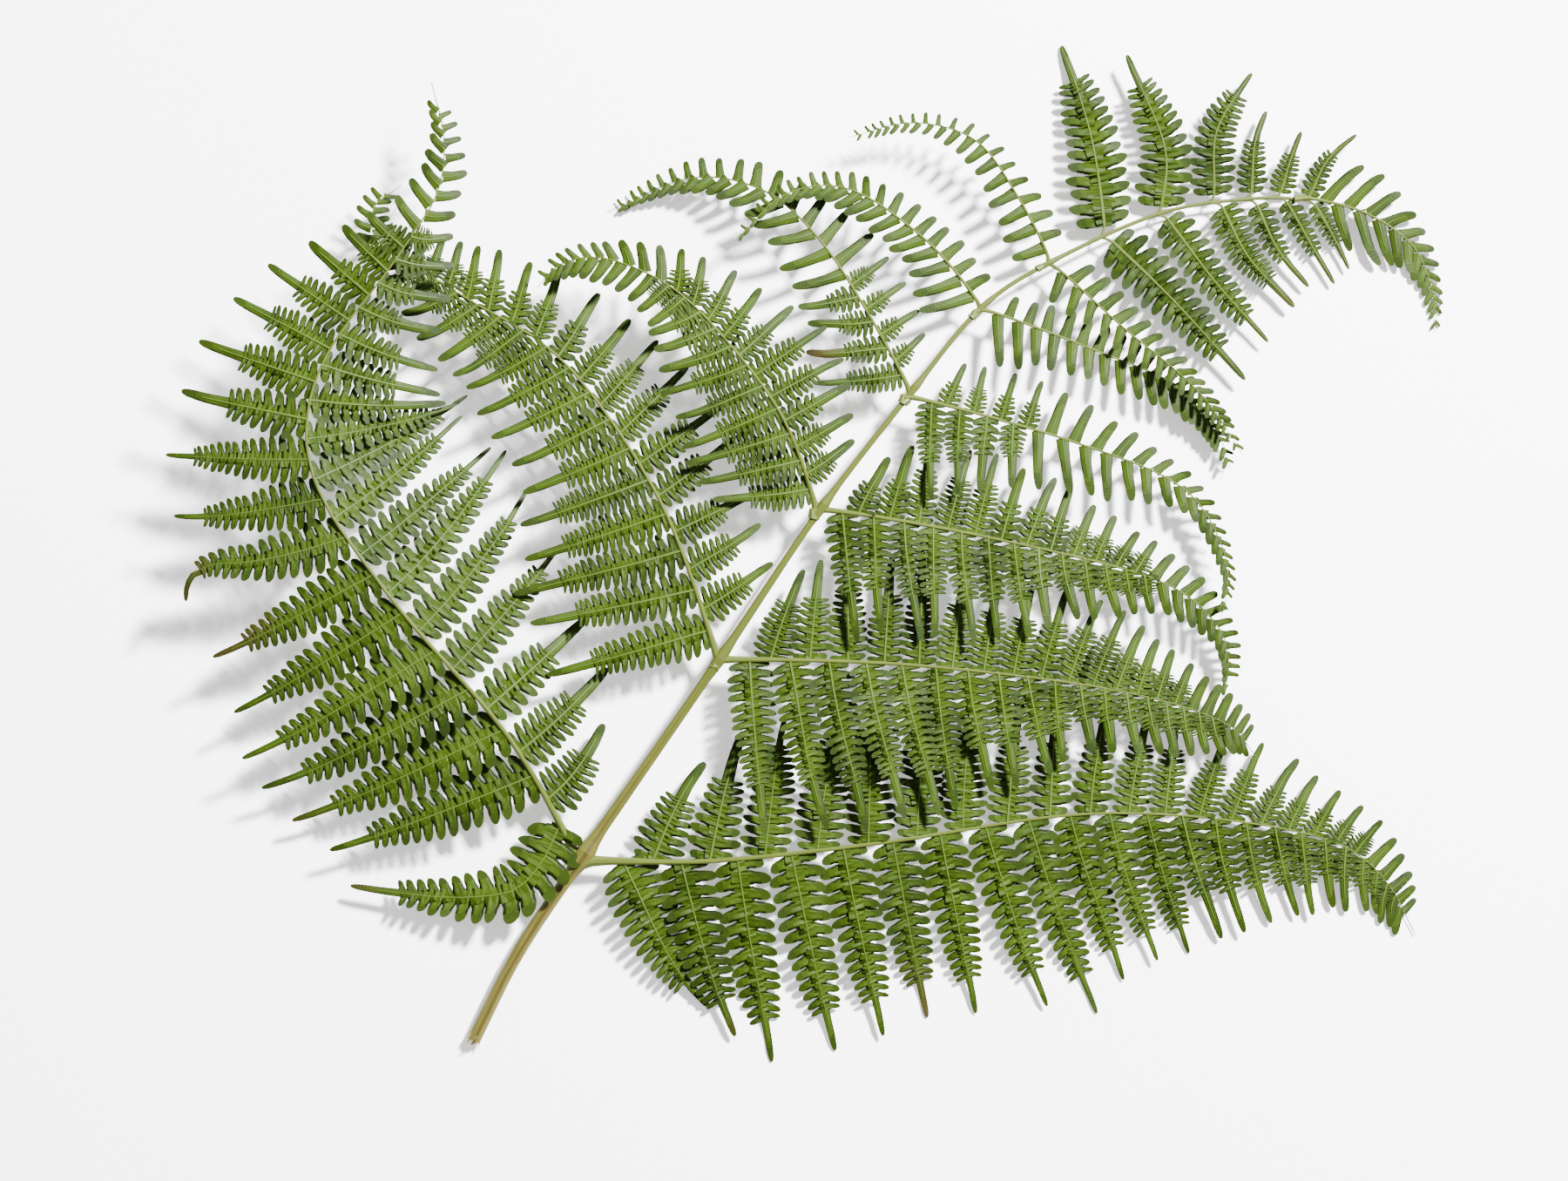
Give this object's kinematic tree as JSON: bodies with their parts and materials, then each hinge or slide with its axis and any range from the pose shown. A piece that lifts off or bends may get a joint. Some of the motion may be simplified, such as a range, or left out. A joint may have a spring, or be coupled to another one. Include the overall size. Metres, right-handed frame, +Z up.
{
  "type": "bracken frond",
  "caption": "Cut green bracken frond lying flat: an ochre stalk and rachis with paired, twice-divided pinnae that curl at their ends and a toothed tip.",
  "frame": {"origin": "middle of the frond's plan, on the surface it lies on", "axes": "+X to the right along the frond's longest extent, +Y towards the side the tips of the upper left pinnae point to, +Z up, away from the surface"},
  "size_m": [0.4371, 0.3467, 0.0353],
  "materials": {
    "stalk": "satin skin, ochre with brown grooves",
    "leaf": "semi-matt waxy green leaf",
    "leaf_upper": "semi-matt lighter green leaf"
  },
  "bodies": {
    "root": {"stalk": "stalk", "pinna_left_1": "leaf", "pinna_left_2": "leaf", "pinna_left_3": "leaf", "pinna_left_4": "leaf", "pinna_left_5": "leaf", "pinna_left_6": "leaf", "pinna_left_7": "leaf_upper", "pinna_left_8": "leaf_upper", "pinna_left_9": "leaf_upper", "pinna_left_10": "leaf_upper", "pinna_left_11": "leaf_upper", "pinna_left_12": "leaf_upper", "pinna_right_1": "leaf", "pinna_right_2": "leaf", "pinna_right_3": "leaf", "pinna_right_4": "leaf", "pinna_right_5": "leaf", "pinna_right_6": "leaf", "pinna_right_7": "leaf_upper", "pinna_right_8": "leaf_upper", "pinna_right_9": "leaf_upper", "pinna_right_10": "leaf_upper", "pinna_right_11": "leaf_upper", "pinna_right_12": "leaf_upper", "frond_tip": "leaf_upper"}
  },
  "joints": []
}
